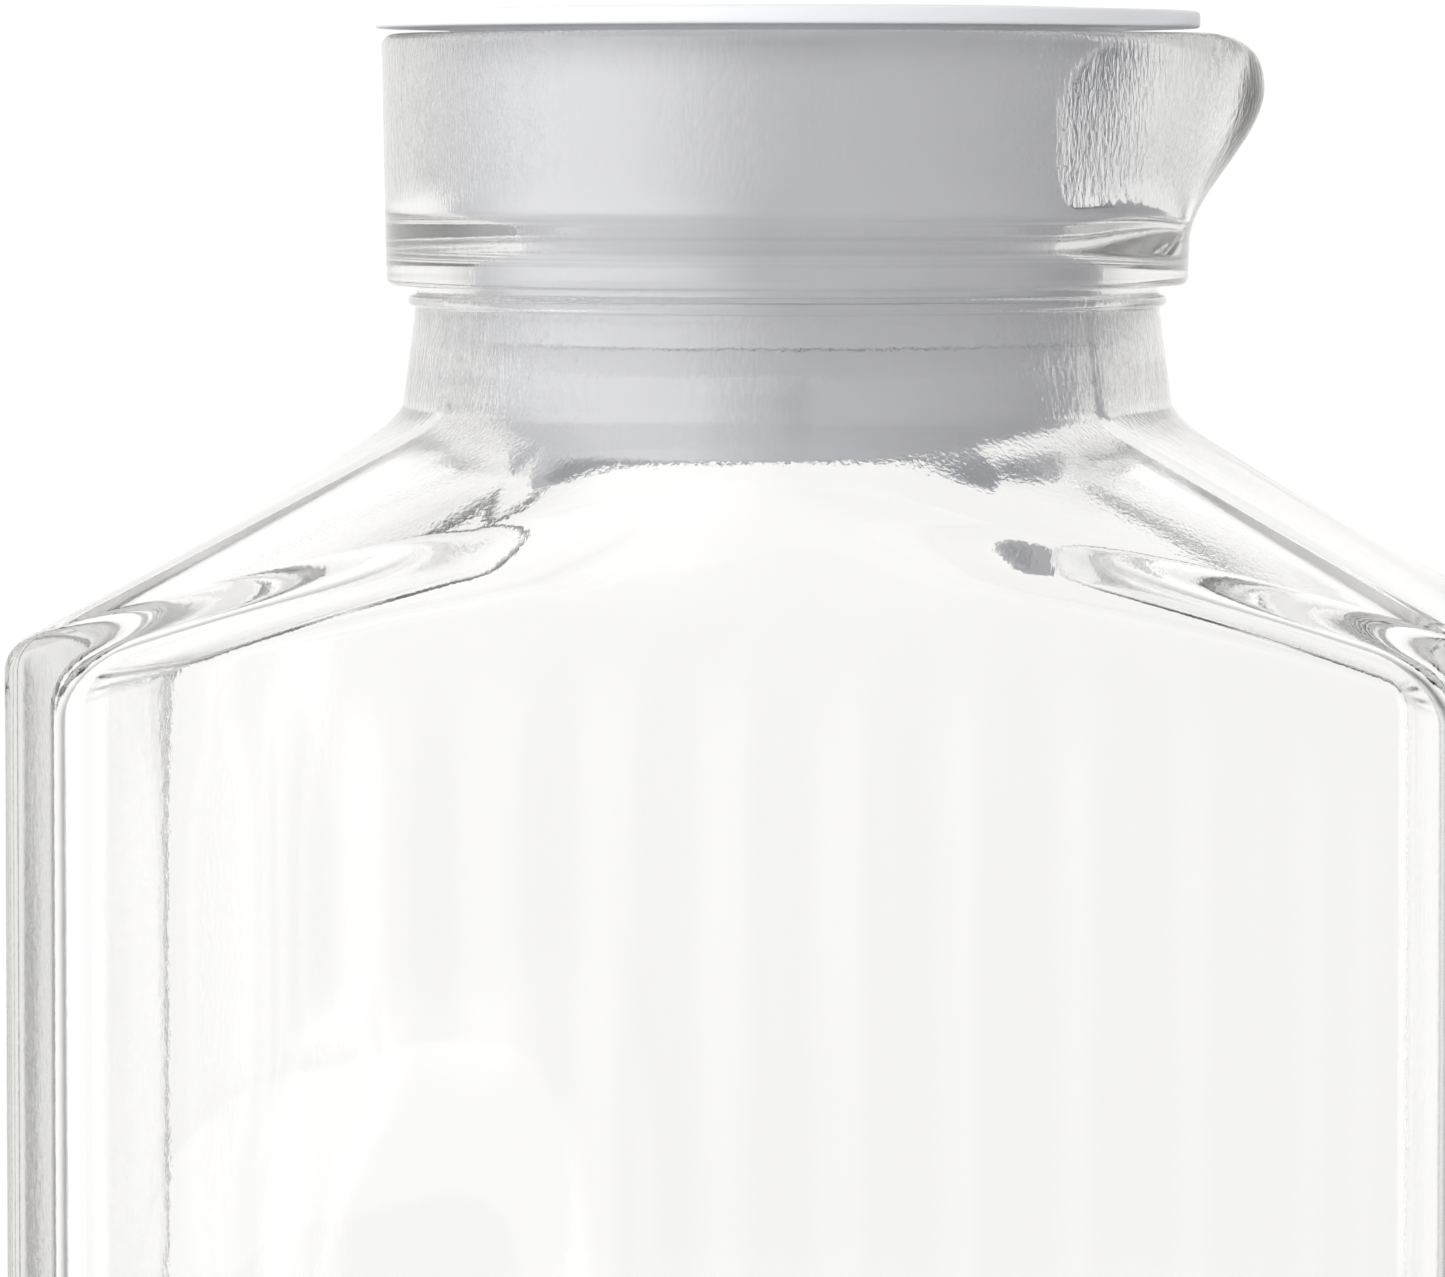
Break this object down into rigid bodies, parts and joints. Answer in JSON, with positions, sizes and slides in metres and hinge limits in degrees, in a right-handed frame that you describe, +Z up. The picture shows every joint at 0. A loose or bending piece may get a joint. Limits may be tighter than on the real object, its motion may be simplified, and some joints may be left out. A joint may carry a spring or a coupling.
{
  "type": "glass water jug",
  "caption": "Clear glass refrigerator jug with a flat-sided fluted body, arched shoulders, a round collar with a pouring spout, and a white stopper lid with a pour gap.",
  "frame": {"origin": "centre of the foot, on the plane that the jug stands on", "axes": "+Z up along the neck's axis; +X towards the pouring spout; the broad fluted faces look along -Y and +Y"},
  "size_m": [0.129, 0.077, 0.25],
  "materials": {
    "clear_glass": "clear pressed soda-lime glass, polished",
    "white_plastic": "satin injection-moulded polyethylene",
    "soft_seal": "soft milky elastomer"
  },
  "bodies": {
    "jug": {"glass_jug": "clear_glass"},
    "seal": {"seal_ring": "soft_seal"},
    "lid": {"stopper_lid": "white_plastic"}
  },
  "joints": [
    {"name": "lid_lift", "type": "slide", "parent": "jug", "child": "seal", "axis": [0, 0, 1], "range_m": [0, 0.06]},
    {"name": "lid_turn", "type": "hinge", "parent": "seal", "child": "lid", "pos_m": [0, 0, 0.2485], "axis": [0, 0, 1], "continuous": true}
  ]
}
